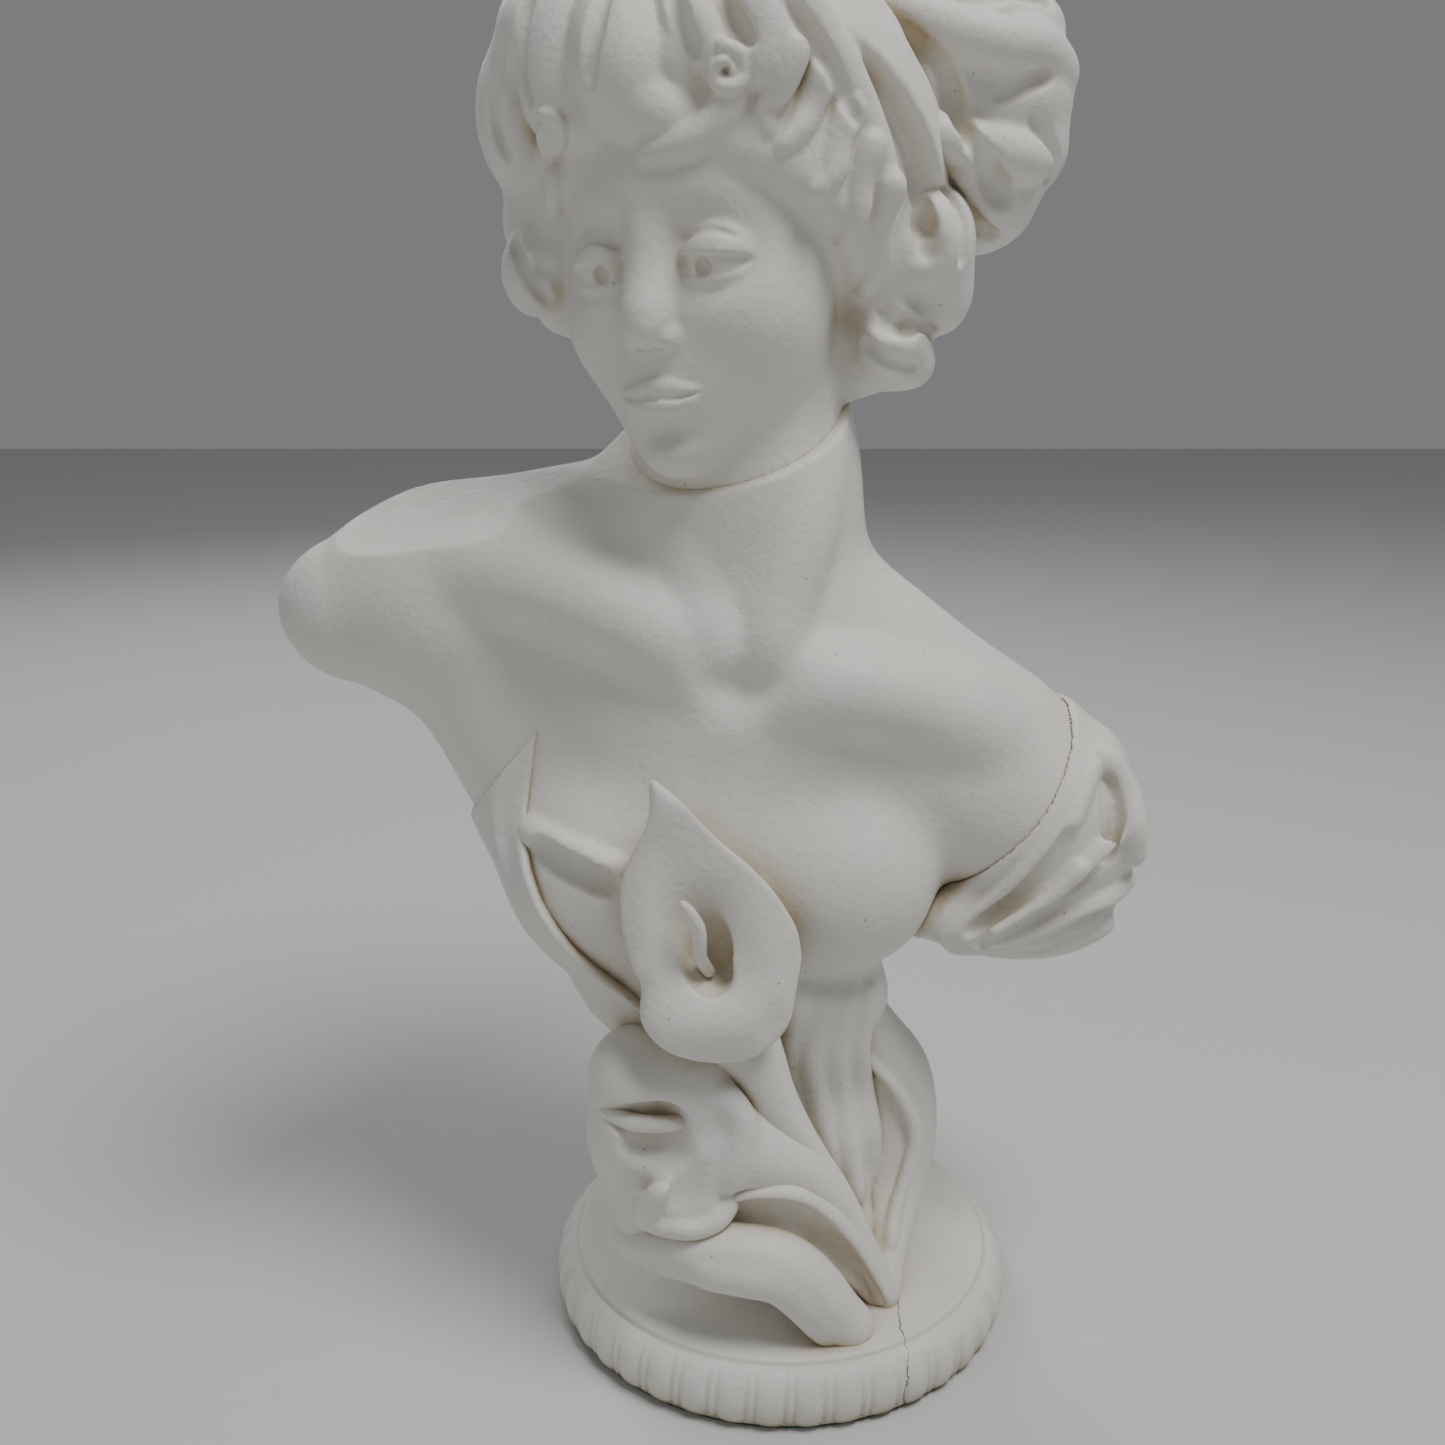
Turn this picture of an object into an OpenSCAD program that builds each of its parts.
// Marble bust of a young woman with two calla lilies, on a round gadrooned socle.
// The marble parts are separate castings, pinned and bonded together, and one tie rod
// with a washer and a nut clamps the torso to the socle. A felt disc covers the underside.
// Millimetres, +Z up, +X towards the figure's left shoulder, -Y towards the viewer.
// The origin is the centre of the felt's lower face.

/* [Overall] */
// Height of the figure above the socle's flat top
figure_h = 400; // [360:1:440]
// Diameter of the socle over its gadroons
socle_d = 150; // [146:1:170]
// Height of the socle itself, without the felt
socle_h = 18.5; // [17:0.5:24]
// Thickness of the felt disc
felt_t = 1.5; // [1:0.5:3]

/* [Socle] */
// Radius of the raised flat top
top_r = 67; // [64:0.5:70]
// Number of gadroons around the rim
gadroons = 40; // [24:1:60]
// Width of the fillet that stands between two gadroons, in degrees
fillet_deg = 2.2; // [1:0.2:4]

/* [Fixings] */
// Diameter of the tie rod
rod_d = 8; // [6:1:10]
// Length of the tie rod
rod_len = 112; // [90:1:120]
// Diameter of the locating dowels and of the neck, chignon and drape pins
dowel_d = 6; // [4:1:7]
// Diameter of the flower and leaf pins
pin_d = 3; // [2:0.5:4]
// Radial clearance of every pin in its bore
fit = 0.1; // [0.05:0.05:0.2]
// Bond line between two castings
bond = 0.8; // [0.6:0.1:1.2]

/* [Hidden] */

marble = [0.93, 0.92, 0.89];
steel = [0.62, 0.63, 0.65];
brass = [0.78, 0.64, 0.34];
felt = [0.16, 0.32, 0.22];

s = figure_h / 400;
deck_z = felt_t + socle_h;   // the socle's flat top
recess_h = 10;               // depth of the nut's recess in the socle's underside
recess_r = 14;
round_fn = 64;

// ---------------------------------------------------------------- solid forms
// A form is a list of eggs [centre, radii] and limbs [end, end, radius, radius].
// Its points are millimetres above the socle's top, at a figure 400 high.

function mix(a, b, t) = a + (b - a) * t;
function unit(v) = v / norm(v);
function smooth_min(a, b, k) =
    let (h = max(k - abs(a - b), 0) / k) min(a, b) - h * h * k / 4;

function egg(p, c, r) =
    let (q = p - c,
         a = norm([q.x / r.x, q.y / r.y, q.z / r.z]),
         b = norm([q.x / r.x ^ 2, q.y / r.y ^ 2, q.z / r.z ^ 2]))
    a < 0.01 ? -min(r) : a * (a - 1) / b;

function limb(p, a, b, ra, rb) =
    let (d = b - a, t = min(max((p - a) * d / (d * d), 0), 1))
    norm(p - a - d * t) - mix(ra, rb, t);

function solid(p, f) = len(f) == 2 ? egg(p, f[0], f[1]) : limb(p, f[0], f[1], f[2], f[3]);

function form(p, list, k, i = 0, d = 1000) =
    i == len(list) ? d : form(p, list, k, i + 1, smooth_min(d, solid(p, list[i]), k));

// Walks in along a ray from radius r and returns the radius where the shape begins.
function meet(o, way, r, shape, n = 0) =
    let (d = shape(o + way * r))
    d < 0.04 || n > 60 || r < 0.6 ? max(r, 0.6) : meet(o, way, r - max(d * 0.85, 0.05), shape, n + 1);

// ---------------------------------------------------------------- skins
// A closed skin over rings of equal length, with a flat or pointed cap at each end.
module skin(rings) {
    n = len(rings[0]);
    last = len(rings) - 1;
    points = [for (r = rings) each r];
    sides = [for (i = [0 : last - 1], j = [0 : n - 1])
        let (a = i * n + j, b = i * n + (j + 1) % n)
        each [[a, b, a + n], [b, b + n, a + n]]];
    foot = [for (j = [1 : n - 2]) [0, j + 1, j]];
    crown = [for (j = [1 : n - 2]) [last * n, last * n + j, last * n + j + 1]];
    scale(s) polyhedron(points, concat(sides, foot, crown), convexity = 8);
}

// Rings round an upright axis, one at each height. A ring's plane can lean: its upright is tilt(z).
function level_rings(heights, axis, tilt, sides, shape) =
    [for (z = heights) let (o = axis(z), up = tilt(z))
        [for (j = [0 : sides - 1]) let (a = -360 * j / sides, flat = [cos(a), sin(a), 0],
                                        way = unit(flat - up * (up * flat)))
            o + way * meet(o, way, 190, shape)]];

// Rings round a centre, from pole to pole, with the poles along the unit vector up.
function star_rings(o, up, sides, levels, reach, shape) =
    let (u = unit(cross(up, abs(up.z) > 0.9 ? [1, 0, 0] : [0, 0, 1])), v = cross(up, u))
    [for (i = [0 : levels]) let (b = mix(-89.2, 89.2, i / levels))
        [for (j = [0 : sides - 1])
            let (a = -360 * j / sides,
                 way = cos(b) * (cos(a) * u + sin(a) * v) + sin(b) * up)
            o + way * meet(o, way, reach, shape)]];

// A smooth curve through a list of points, at t from 0 to 1.
function curve(pts, t) =
    let (n = len(pts) - 1, x = min(max(t, 0), 0.9999) * n, i = floor(x), f = x - i,
         a = pts[max(i - 1, 0)], b = pts[i], c = pts[i + 1], d = pts[min(i + 2, n)])
    0.5 * (2 * b + (c - a) * f + (2 * a - 5 * b + 4 * c - d) * f ^ 2
           + (3 * b - a - 3 * c + d) * f ^ 3);

// A blade of lens section along a curve. Each station is [centre, half width, way across].
function blade_rings(stations, thick, steps, sides = 10) =
    let (centres = [for (q = stations) q[0]], widths = [for (q = stations) q[1]],
         acrosses = [for (q = stations) q[2]])
    [for (i = [0 : steps]) let (
        t = i / steps, c = curve(centres, t), w = max(curve(widths, t), 0.7),
        along = unit(curve(centres, min(t + 0.01, 1)) - curve(centres, max(t - 0.01, 0))),
        across0 = curve(acrosses, t),
        across = unit(across0 - along * (across0 * along)), face = cross(along, across))
        [for (j = [0 : sides - 1]) let (a = -360 * j / sides)
            c + across * w * cos(a) + face * min(thick, w) / 2 * sin(a)]];

// ---------------------------------------------------------------- the figure's forms
torso_form = [
    [[-22, 4, 138], [58, 42, 62]],                  // rib cage
    [[-24, 6, 186], [64, 36, 42]],                  // upper chest
    [[-38, 8, 222], [-108, 3, 213], 27, 26],        // right shoulder
    [[-108, 3, 213], [-133, 0, 210], 26, 17],       // right arm, cut short
    [[-98, 0, 198], [-74, 0, 150], 20, 20],         // right armpit fold
    [[-6, 8, 186], [74, 2, 146], 34, 32],           // left shoulder
    [[-12, 12, 240], [-96, 7, 224], 18, 17],        // right slope of the neck
    [[-8, 12, 222], [60, 6, 168], 20, 22],          // left slope of the neck
    [[-14, 8, 190], [-14, 7, 250], 35, 30],         // neck
    [[-14, 7, 250], [-14, 12, 300], 30, 29],        // neck, up into the skull
    [[-54, -18, 132], [27, 24, 29]],                // right breast
    [[14, -19, 132], [29, 25, 29]],                 // left breast
    [[-24, 4, 96], [-12, 6, 62], 37, 26],           // waist
    [[-12, 6, 62], [-4, 8, 30], 26, 24],            // narrow of the dress
    [[-4, 8, 30], [-2, 12, 0], 24, 29]              // foot of the dress
];
skull_form = [
    [[-19, 10, 338], [56, 58, 62]],                 // hair over the skull
    [[-26, -12, 304], [37, 38, 44]],                // face
    [[-32, -28, 272], [18, 17, 17]],                // jaw and chin
    [[-14, 7, 240], [-14, 12, 300], 30, 29],        // neck under the jaw
    [[-62, 6, 345], [26, 32, 26]],                  // right side roll
    [[-60, 4, 305], [19, 22, 20]],                  // curls by the right ear
    [[30, 4, 302], [21, 24, 25]],                   // curls by the left ear
    [[18, 0, 276], [14, 14, 14]],                   // lowest left curl
    [[-36, -36, 356], [28, 18, 20]]                 // fringe
];
chignon_form = [
    [[44, 26, 348], [37, 36, 36]],
    [[24, 24, 366], [24, 28, 20]],
    [[50, 28, 330], [24, 28, 20]]
];
drape_form = [
    [[76, 0, 142], [34, 35, 36]],
    [[94, 0, 158], [12, 22, 14]],
    [[40, -12, 116], [84, -4, 118], 8, 22]
];

// Joint faces: [a point on the face, the way the outer casting lies]
neck_face = [[-14, 7, 264], unit([-0.2, -0.42, 0.88])];
chignon_face = [[22, 22, 350], unit([0.94, 0.22, 0.1])];
drape_face = [[72, -4, 138], unit([0.83, 0, -0.56])];
function beyond(p, face) = (p - face[0]) * face[1];

// Room that the torso leaves for the flowers in front of it
lily_room = [
    [[-22, -57, 130], [31, 18, 43]],
    [[-40, -46, 163], [-34, -50, 150], 8, 12],
    [[-16, -44, 102], [10, -33, 60], 15, 11],
    [[10, -33, 60], [32, -26, 0], 11, 9],
    [[-32, -42, 64], [30, 26, 28]],
    [[-14, -36, 58], [30, -28, 6], 14, 10]
];

function torso_shape(p) = max(
    form(p, torso_form, 16), min(beyond(p, drape_face), p.z - 92), bond - form(p, lily_room, 6));
function head_shape(p) = max(form(p, skull_form, 12), beyond(p, chignon_face));
function chignon_shape(p) = max(form(p, chignon_form, 10), bond - beyond(p, chignon_face));
function drape_shape(p) = max(form(p, drape_form, 12), bond - beyond(p, drape_face));

// ---------------------------------------------------------------- pins
// Each pin is [middle, way along it, length], in figure millimetres.
neck_pin = [[-14, 8, 264], [0, 0.1, 1], 60];
chignon_pins = [[chignon_face[0] + [0, 0, -2], chignon_face[1], 34]];
drape_pins = [for (z = [-12, 12]) [drape_face[0] + [z * 0.56, 4, z * 0.83], drape_face[1], 26]];
upper_lily_pins = [[[-22, -43, 134], [0, 1, 0], 24], [[-14, -33, 106], [0, 1, 0], 26]];
lower_lily_pins = [[[-23, -24, 66], [0.1, 0.99, 0], 34]];
foot_pins = [[[44, -15, 0], [0, 0, 1], 16], [[21, -51, -1.5], [0, 0, 1], 10], [[38, -34, -1.5], [0, 0, 1], 10]];

module pin(p, d) {
    up = unit(p[1]);
    translate(p[0] * s)
        rotate([0, acos(up.z), atan2(up.y, up.x)])
            cylinder(h = p[2] * s, d = d, center = true, $fn = round_fn);
}
module bores(pins, d) {
    for (p = pins) pin(p, d + 2 * fit);
}

// ---------------------------------------------------------------- socle and fixings
// The rim is an ovolo that swells from the raised top to its widest ring and tucks under.
function rim_profile(grow) = let (outer = socle_d / 2 - 0.5 + grow, swell = 0.54 * socle_h) concat(
    [[recess_r - 2, 0], [outer - 1.8, 0], [outer - 0.4, 0.24 * socle_h]],
    [for (a = [0 : 10 : 90])
        [top_r + 0.6 + (outer - top_r - 0.6) * cos(a), socle_h - 1.6 - swell + swell * sin(a)]],
    [[top_r + 0.6, socle_h - 1.2], [top_r, socle_h - 0.6], [top_r - 0.6, socle_h], [recess_r - 2, socle_h]]);

module socle() {
    color(marble) translate([0, 0, felt_t]) difference() {
        union() {
            rotate_extrude($fn = 120) polygon(rim_profile(0));
            cylinder(r = recess_r + 4, h = socle_h, $fn = round_fn);
            for (i = [0 : gadroons - 1])
                rotate([0, 0, 360 / gadroons * i])
                    rotate_extrude(angle = fillet_deg, $fn = 120)
                        intersection() {
                            polygon(rim_profile(0.5));
                            translate([top_r + 1.2, 0.3]) square([20, socle_h - 2.4]);
                        }
        }
        translate([rod_x, rod_y, -1]) cylinder(r = recess_r - 1, h = recess_h + 1, $fn = round_fn);
        translate([rod_x, rod_y, -1]) cylinder(d = rod_d + 2 * fit, h = socle_h + 2, $fn = round_fn);
        translate([0, 0, socle_h]) {
            for (x = dowel_xs) translate([x, rod_y, -9]) cylinder(d = dowel_d + 2 * fit, h = 20, $fn = round_fn);
            bores(foot_pins, pin_d);
        }
    }
}
rod_x = 0;
rod_y = 5;
dowel_xs = [rod_x - 18, rod_x + 18];
rod_z = felt_t + 1.5;        // the rod's lower end
washer_t = 2;
nut_h = 6.5;
nut_af = 13;
anchor_h = 24;
anchor_d = rod_d + 6;

module tie_rod() {
    color(steel) translate([rod_x, rod_y, rod_z]) {
        cylinder(d1 = rod_d - 1.6, d2 = rod_d, h = 0.8, $fn = round_fn);
        translate([0, 0, 0.8]) cylinder(d = rod_d, h = rod_len - 0.8, $fn = round_fn);
    }
}
module rod_anchor() {
    color(brass) translate([rod_x, rod_y, rod_z + rod_len - anchor_h]) difference() {
        union() {
            cylinder(d = anchor_d, h = anchor_h, $fn = round_fn);
            for (z = [4, anchor_h - 7]) translate([0, 0, z]) cylinder(d = anchor_d + 3, h = 3, $fn = round_fn);
        }
        translate([0, 0, -1]) cylinder(d = rod_d + 2 * fit, h = anchor_h + 2, $fn = round_fn);
    }
}
module rod_washer() {
    color(steel) translate([rod_x, rod_y, felt_t + recess_h - washer_t]) difference() {
        cylinder(r = recess_r - 2.5, h = washer_t, $fn = round_fn);
        translate([0, 0, -1]) cylinder(d = rod_d + 0.6, h = washer_t + 2, $fn = round_fn);
    }
}
module rod_nut() {
    color(steel) translate([rod_x, rod_y, felt_t + recess_h - washer_t - nut_h]) difference() {
        cylinder(r = nut_af / sqrt(3), h = nut_h, $fn = 6);
        translate([0, 0, -1]) cylinder(d = rod_d + 2 * fit, h = nut_h + 2, $fn = round_fn);
    }
}
module socle_dowels() {
    color(steel) for (x = dowel_xs)
        translate([x, rod_y, deck_z - 8.5]) cylinder(d = dowel_d, h = 24, $fn = round_fn);
}
module felt_pad() {
    color(felt) cylinder(d = socle_d - 8, h = felt_t, $fn = round_fn);
}

// ---------------------------------------------------------------- castings
module on_deck() {
    translate([0, 0, deck_z]) children();
}

torso_heights = [each [0 : 4 : 20], each [26 : 6 : 182], each [186 : 3.9 : neck_face[0].z]];
function torso_axis(z) = z < 110 ? [mix(2, -20, z / 110), 4, z] : [mix(-20, -14, min((z - 110) / 90, 1)), 7, z];
function torso_tilt(z) = unit(mix([0, 0, 1], neck_face[1], max(z - 186, 0) / (neck_face[0].z - 186)));

crown_z = 399.5;
head_steps = 30;
head_foot = neck_face[0] + neck_face[1] * bond;
head_heights = [for (i = [0 : head_steps]) let (t = i / head_steps)
    mix(head_foot.z, crown_z, 0.6 * sin(90 * t) + 0.4 * t)];
function head_share(z) = (z - head_foot.z) / (crown_z - head_foot.z);
function head_axis(z) = mix([head_foot.x, head_foot.y, z], [-19, 10, z], min(head_share(z) * 3, 1));
function head_tilt(z) = unit(mix(neck_face[1], [0, 0, 1], min(head_share(z) * 2, 1)));

module torso() {
    color(marble) on_deck() difference() {
        skin(level_rings(torso_heights, function(z) torso_axis(z), function(z) torso_tilt(z), 56,
                         function(p) torso_shape(p)));
        translate([rod_x, rod_y, -1]) cylinder(d = rod_d + 1, h = rod_z + rod_len - deck_z + 2, $fn = round_fn);
        translate([rod_x, rod_y, rod_z + rod_len - deck_z - anchor_h - 0.1])
            cylinder(d = anchor_d + 3 + 2 * fit, h = anchor_h + 0.4, $fn = round_fn);
        for (x = dowel_xs) translate([x, rod_y, -1]) cylinder(d = dowel_d + 2 * fit, h = 17, $fn = round_fn);
        bores([neck_pin], dowel_d + 2);
        bores(drape_pins, dowel_d - 2);
        bores(concat(upper_lily_pins, lower_lily_pins, side_leaf_pins), pin_d);
    }
}
module head() {
    color(marble) on_deck() difference() {
        skin(level_rings(head_heights, function(z) head_axis(z), function(z) head_tilt(z), 44,
                         function(p) head_shape(p)));
        bores([neck_pin], dowel_d + 2);
        bores(chignon_pins, dowel_d);
    }
}
module chignon() {
    color(marble) on_deck() difference() {
        skin(star_rings([45, 27, 350], chignon_face[1], 28, 20, 70, function(p) chignon_shape(p)));
        bores(chignon_pins, dowel_d);
    }
}
module shoulder_drape() {
    color(marble) on_deck() difference() {
        skin(star_rings([87, -2, 134], drape_face[1], 30, 20, 80, function(p) drape_shape(p)));
        bores(drape_pins, dowel_d - 2);
    }
}

// ---------------------------------------------------------------- flowers
// A lily is a tube that swells into a bloom, turns over at the lip and runs down the throat.
// Each station is [centre, radius across, radius up, way across, way up, draw of the pointed tip].
function hoop_rings(stations, sides) =
    [for (q = stations) [for (j = [0 : sides - 1])
        let (a = 90 - 360 * j / sides, tip = 1 + q[5] * max(sin(a), 0) ^ 8)
        q[0] + unit(q[3]) * q[1] * cos(a) + unit(q[4]) * q[2] * tip * sin(a)]];

stem_a = [0.7, 0, 0.5];
stem_b = [0.2, 0.9, -0.2];
mouth_a = [0.95, -0.1, 0.25];
mouth_b = [-0.25, 0.12, 0.94];
upper_lily_stations = [
    [[32, -27, 0.8], 6, 6, [1, 0, 0], [0, 1, 0], 0],
    [[22, -31, 34], 7.5, 7.5, stem_a, stem_b, 0],
    [[6, -37, 64], 9, 8.5, stem_a, stem_b, 0],
    [[-8, -44, 86], 12, 11, mouth_a, [0.2, 0.7, 0.5], 0],
    [[-17, -51, 108], 21, 21, mouth_a, [0.2, 0.3, 0.8], 0],
    [[-21, -56, 124], 26, 33, mouth_a, mouth_b, 0.15],
    [[-22, -61, 128], 27, 35, mouth_a, mouth_b, 0.3],
    [[-22, -65, 128], 25, 33, mouth_a, mouth_b, 0.32],
    [[-22, -67, 127], 18, 26, mouth_a, mouth_b, 0.15],
    [[-22, -63, 124], 11, 16, mouth_a, mouth_b, 0],
    [[-21, -56, 118], 7, 10, mouth_a, mouth_b, 0],
    [[-19, -50, 112], 4, 6, mouth_a, mouth_b, 0]
];
low_a = [0.5, -0.62, 0.6];
low_b = [0.1, 0.55, 0.83];
lower_lily_stations = [
    [[27, -38, 0.8], 5, 5, [1, 0, 0], [0, 1, 0], 0],
    [[16, -40, 26], 7.5, 7, [0.8, 0, 0.6], [0.4, 0.9, -0.3], 0],
    [[0, -43, 44], 10, 9, [0.7, 0, 0.7], [0.2, 0.9, -0.2], 0],
    [[-16, -45, 56], 16, 15, low_a, low_b, 0],
    [[-27, -46, 60], 21, 24, low_a, low_b, 0],
    [[-33, -47, 62], 22, 26, low_a, low_b, 0.1],
    [[-37, -48, 63], 20, 24, low_a, low_b, 0.1],
    [[-37, -48, 63], 12, 15, low_a, low_b, 0],
    [[-30, -47, 61], 8, 10, low_a, low_b, 0],
    [[-24, -46, 59], 5, 6, low_a, low_b, 0]
];

module upper_lily() {
    color(marble) on_deck() difference() {
        skin(hoop_rings(upper_lily_stations, 28));
        bores(upper_lily_pins, pin_d);
    }
}
module lower_lily() {
    color(marble) on_deck() difference() {
        skin(hoop_rings(lower_lily_stations, 26));
        bores(lower_lily_pins, pin_d);
    }
}

// A spadix stands free in the throat, on a round foot.
module spadix(foot, way, len, d) {
    up = unit(way);
    color(marble) on_deck() translate(foot * s) rotate([0, acos(up.z), atan2(up.y, up.x)]) {
        cylinder(d1 = d * 0.8, d2 = d, h = len * s, $fn = round_fn);
        translate([0, 0, len * s]) sphere(d = d, $fn = round_fn);
    }
}
module upper_spadix() spadix([-20.2, -51.6, 114], [-0.12, -0.45, 0.86], 17, 3.6);
module lower_spadix() spadix([-25.4, -46.4, 59.6], [-0.95, -0.1, 0.24], 11, 3.2);

// ---------------------------------------------------------------- leaves
// The side leaf lies against the torso. Each stop is [height, bearing, half width].
side_leaf_stops = [[68, 232, 4], [84, 220, 12], [106, 212, 18], [130, 207, 20], [154, 206, 16],
                   [172, 207, 8], [182, 208, 1]];
side_leaf_stations = [for (q = side_leaf_stops)
    let (o = torso_axis(q[0]), way = [cos(q[1]), sin(q[1]), 0],
         r = meet(o, way, 190, function(p) form(p, torso_form, 16)))
    [o + way * (r + bond + 2.6), q[2], [-way.y, way.x, 0]]];
side_leaf_pins = [[side_leaf_stations[3][0] + [4.5, 2.3, 0], [0.89, 0.45, 0], 13]];
curled_leaf_stations = [
    [[44, -15, 0.8], 5, [0.85, 0.5, 0]],
    [[44, -8, 18], 10, [0.85, 0.5, 0]],
    [[40, -3, 38], 13, [0.88, 0.45, 0.1]],
    [[36, -4, 56], 12, [0.85, 0.4, 0.3]],
    [[29, -8, 72], 8, [0.8, 0.3, 0.4]],
    [[25, -12, 85], 1, [0.8, 0.2, 0.5]]
];
front_leaf_stations = [
    [[-50, -36, 26], 2, [0, -0.6, 0.7]],
    [[-36, -48, 22], 10, [0, -0.6, 0.8]],
    [[-14, -57, 18], 13, [0, -0.6, 0.8]],
    [[6, -57, 12], 9, [0, -0.8, 0.5]],
    [[22, -50, 3.2], 5, [0.2, -1, 0]]
];
inner_leaf_stations = [
    [[-10, -32, 30], 1, [0, -0.4, 0.9]],
    [[4, -44, 28], 5, [0, -0.6, 0.8]],
    [[20, -47, 20], 6, [0.2, -0.7, 0.6]],
    [[39, -33, 3.2], 5, [0.5, -0.8, 0]]
];

module leaf(stations, thick, steps, pins) {
    color(marble) on_deck() difference() {
        skin(blade_rings(stations, thick, steps));
        bores(pins, pin_d);
    }
}
module side_leaf() leaf(side_leaf_stations, 5, 22, side_leaf_pins);
module curled_leaf() leaf(curled_leaf_stations, 7, 22, [foot_pins[0]]);
module front_leaf() leaf(front_leaf_stations, 6, 20, [foot_pins[1]]);
module inner_leaf() leaf(inner_leaf_stations, 6, 16, [foot_pins[2]]);

// ---------------------------------------------------------------- pins as nodes
module neck_dowel() color(steel) on_deck() pin(neck_pin, dowel_d + 2);
module chignon_pin() color(steel) on_deck() pin(chignon_pins[0], dowel_d);
module drape_pins() color(steel) on_deck() for (p = drape_pins) pin(p, dowel_d - 2);
module lily_pins() color(brass) on_deck() for (p = concat(upper_lily_pins, lower_lily_pins)) pin(p, pin_d);
module leaf_pins() color(brass) on_deck() for (p = concat(side_leaf_pins, foot_pins)) pin(p, pin_d);

socle();
torso();
head();
chignon();
shoulder_drape();
upper_lily();
lower_lily();
upper_spadix();
lower_spadix();
side_leaf();
curled_leaf();
front_leaf();
inner_leaf();
tie_rod();
rod_anchor();
rod_washer();
rod_nut();
socle_dowels();
neck_dowel();
chignon_pin();
drape_pins();
lily_pins();
leaf_pins();
felt_pad();
